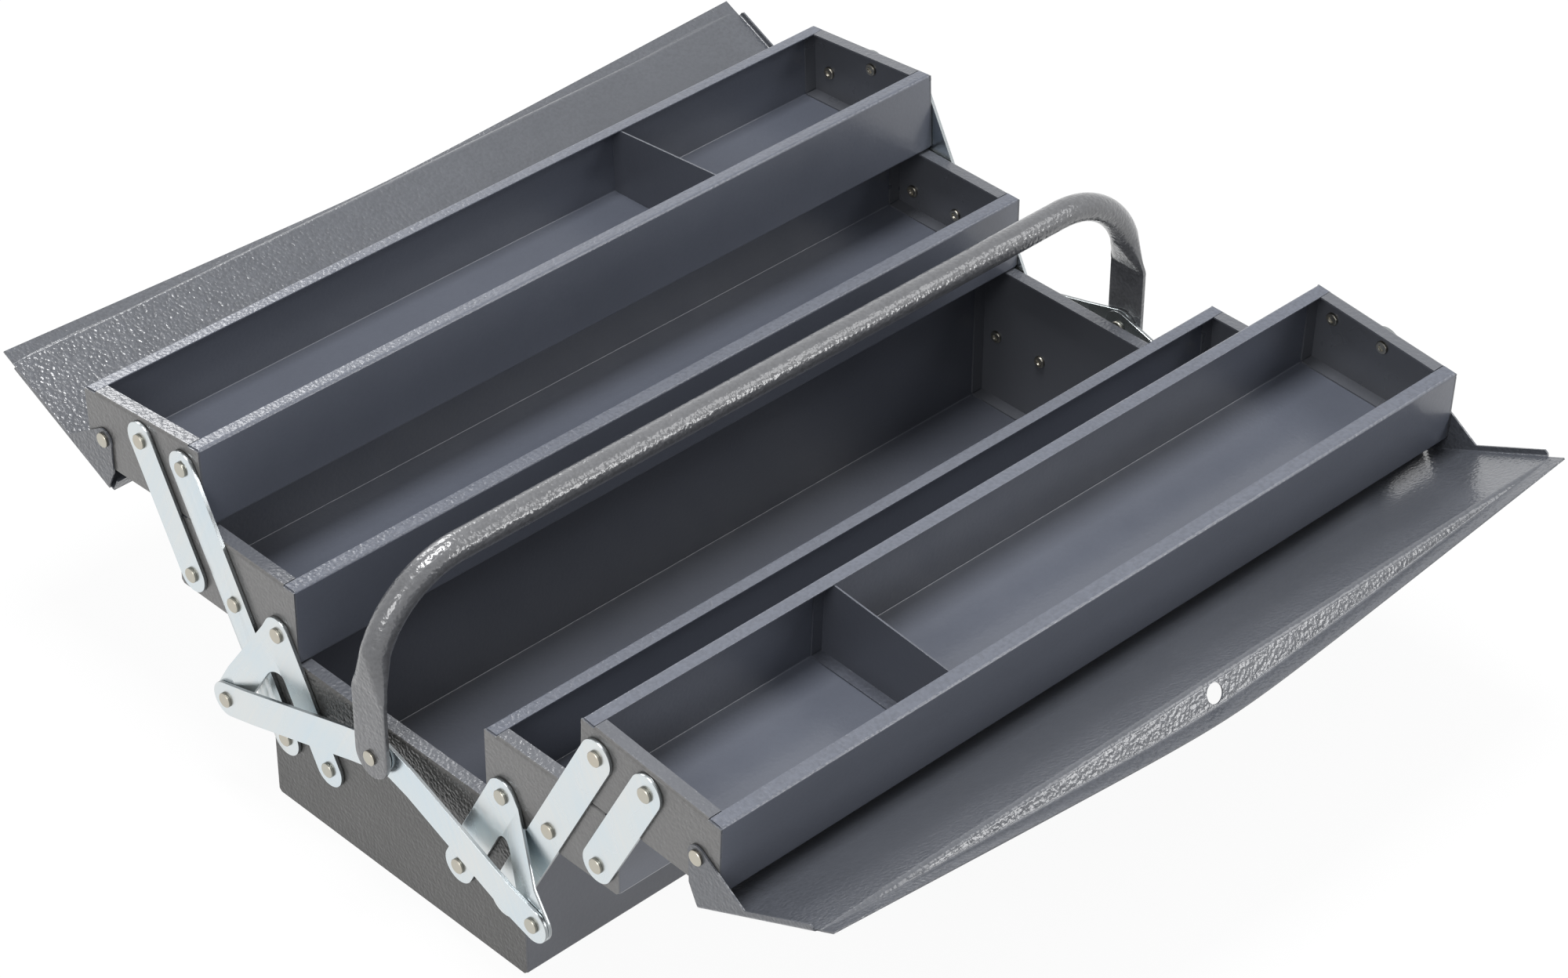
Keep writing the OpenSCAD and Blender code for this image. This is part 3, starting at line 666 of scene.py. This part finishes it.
def dress_all():
    """Dresses every CAD node by its slot and level, and adds the pieces that replace the lids and the handle."""
    trays, ends = tray_paints(), end_paints()
    lids = paint("paint_lids", PAINT_LID, 0.32, lid_grain, 0.6)
    handle = paint("paint_handle", PAINT_HANDLE, 0.30, 0.34, 0.85)
    rivets = plated("nickel_rivets", NICKEL, 0.32)
    lean = math.radians(28)
    zinc = {
        "front": plated("zinc_front", ZINC, 0.26, -lean),
        "rear": plated("zinc_rear", ZINC, 0.26, lean),
    }
    for part in frame["record"]["subparts"]:
        node, slot = part["node"], part["material_slot"]
        level = next((name for name in ("lower", "upper") if name in node), "case")
        if slot in ("lids", "handle"):
            continue
        if slot in ("trays", "ends"):
            dress(node, (trays if slot == "trays" else ends)[level], flat=not node.endswith("_tray"))
        elif slot == "rivets":
            dress(node, rivets, flat=False)
        else:
            dress(node, zinc[node.split("_")[0]], flat=True)
    add_lid("front", lids)
    add_lid("rear", lids)
    add_handle(handle)


def add_camera():
    back = Vector((
        math.sin(CAMERA_AZIMUTH) * math.cos(CAMERA_ELEVATION),
        -math.cos(CAMERA_AZIMUTH) * math.cos(CAMERA_ELEVATION),
        math.sin(CAMERA_ELEVATION),
    ))
    data = bpy.data.cameras.new("camera")
    data.lens = data.sensor_width * FOCAL_PIXELS / IMAGE_WIDTH
    camera = bpy.data.objects.new("camera", data)
    camera.rotation_mode = "QUATERNION"
    camera.location = CAMERA_TARGET + back * CAMERA_DISTANCE
    camera.rotation_quaternion = (-back).to_track_quat("-Z", "Y") @ Quaternion((0, 0, 1), CAMERA_ROLL)
    bpy.context.scene.collection.objects.link(camera)
    bpy.context.scene.camera = camera


def add_softbox(name, place, power, wide, tall=None, along=(0, 0, 1)):
    """An area lamp that faces the object, with its tall side near the direction given by along."""
    data = bpy.data.lights.new(name, "AREA")
    data.shape = "RECTANGLE"
    data.size = wide
    data.size_y = tall or wide
    data.energy = power
    lamp = bpy.data.objects.new(name, data)
    lamp.location = place
    back = (Vector(place) - LAMP_AIM).normalized()
    across = Vector(along).cross(back).normalized()
    turn = Matrix((across, back.cross(across), back)).transposed()
    lamp.rotation_mode = "QUATERNION"
    lamp.rotation_quaternion = turn.to_quaternion()
    bpy.context.scene.collection.objects.link(lamp)


def white_where_seen(tree, dull, factor):
    """Mixes a shader with plain white for the rays that see it directly, in a reflection or through glass."""
    path = tree.nodes.new("ShaderNodeLightPath")
    seen = math_node(tree, "MAXIMUM", path.outputs["Is Camera Ray"], path.outputs["Is Glossy Ray"])
    seen = math_node(tree, "MAXIMUM", seen, path.outputs["Is Transmission Ray"])
    share = math_node(tree, "MULTIPLY", seen, factor)
    white = tree.nodes.new("ShaderNodeEmission")
    white.inputs["Color"].default_value = (1, 1, 1, 1)
    white.inputs["Strength"].default_value = 1.0
    mix = tree.nodes.new("ShaderNodeMixShader")
    tree.links.new(share, mix.inputs["Fac"])
    tree.links.new(dull, mix.inputs[1])
    tree.links.new(white.outputs[0], mix.inputs[2])
    return mix.outputs[0]


def add_world():
    world = bpy.data.worlds.new("studio")
    world.use_nodes = True
    tree = world.node_tree
    background = tree.nodes["Background"]
    background.inputs["Color"].default_value = (0.97, 0.985, 1, 1)
    background.inputs["Strength"].default_value = SKY_STRENGTH
    seen = white_where_seen(tree, background.outputs[0], 1.0)
    tree.links.new(seen, tree.nodes["World Output"].inputs["Surface"])
    bpy.context.scene.world = world


def add_floor():
    mesh = bpy.data.meshes.new("floor")
    shape = bmesh.new()
    bmesh.ops.create_circle(shape, cap_ends=True, segments=96, radius=FLOOR_RADIUS)
    shape.to_mesh(mesh)
    shape.free()
    floor = bpy.data.objects.new("floor", mesh)
    bpy.context.scene.collection.objects.link(floor)
    material = bpy.data.materials.new("pale_floor")
    material.use_nodes = True
    tree = material.node_tree
    shader = tree.nodes["Principled BSDF"]
    shader.inputs["Base Color"].default_value = (0.88, 0.88, 0.88, 1)
    shader.inputs["Roughness"].default_value = 0.9
    seen = white_where_seen(tree, shader.outputs[0], FLOOR_WHITE)
    tree.links.new(seen, tree.nodes["Material Output"].inputs["Surface"])
    mesh.materials.append(material)


def add_lamps():
    """Five soft lamps: place in metres, power in watts and size."""
    add_softbox("key", (-2.1, -0.8, 1.7), 22, 0.9)
    add_softbox("top", (-0.1, 0.0, 2.4), 50, 0.8, along=(0, 1, 0))
    add_softbox("back", (0.5, 2.1, 1.6), 20, 0.9)
    add_softbox("fill", (1.2, -2.15, 0.5), 12, 0.6)
    add_softbox("panel", (1.36, -1.3, 1.6), 11, 0.75, 1.1, along=(0, 0.405, 0.316))


add_camera()
dress_all()
add_world()
add_floor()
add_lamps()
bpy.context.scene.view_settings.view_transform = "Standard"
